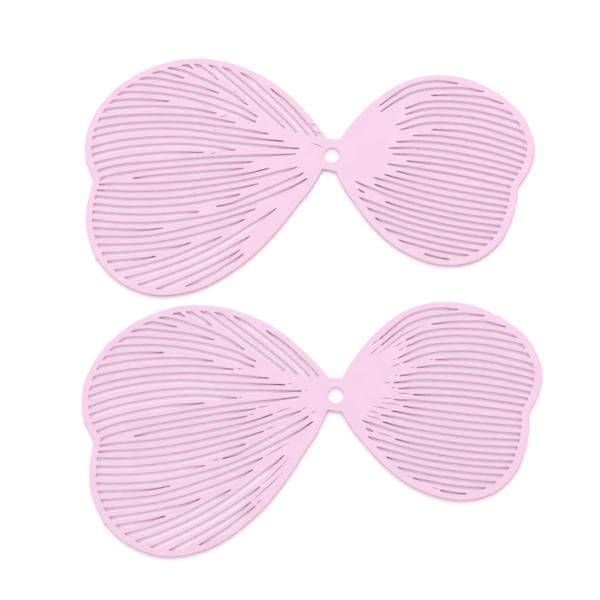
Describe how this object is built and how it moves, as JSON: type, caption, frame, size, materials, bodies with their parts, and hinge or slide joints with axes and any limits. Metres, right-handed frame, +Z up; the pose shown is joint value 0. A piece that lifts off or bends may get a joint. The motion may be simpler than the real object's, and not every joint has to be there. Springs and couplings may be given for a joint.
{
  "type": "filigree wing charm pair",
  "caption": "Flat etched metal fairy wing charms with slit veins, a rim round each wing and a round hanging eye at the narrow neck.",
  "frame": {"origin": "middle of the pair's box, on the surface that both charms lie on", "axes": "+Z up out of the charms' painted faces; +X along the charms, from the large wing to the small wing; +Y from the front charm to the rear charm"},
  "size_m": [0.0506, 0.057, 0.0005],
  "materials": {
    "pink_paint": "satin"
  },
  "bodies": {
    "rear_charm": {"rear_wing_charm": "pink_paint"},
    "front_charm": {"front_wing_charm": "pink_paint"}
  },
  "joints": [
    {"name": "front_charm_lift", "type": "slide", "parent": "rear_charm", "child": "front_charm", "axis": [0, 0, 1], "range_m": [0, 0.03]}
  ]
}
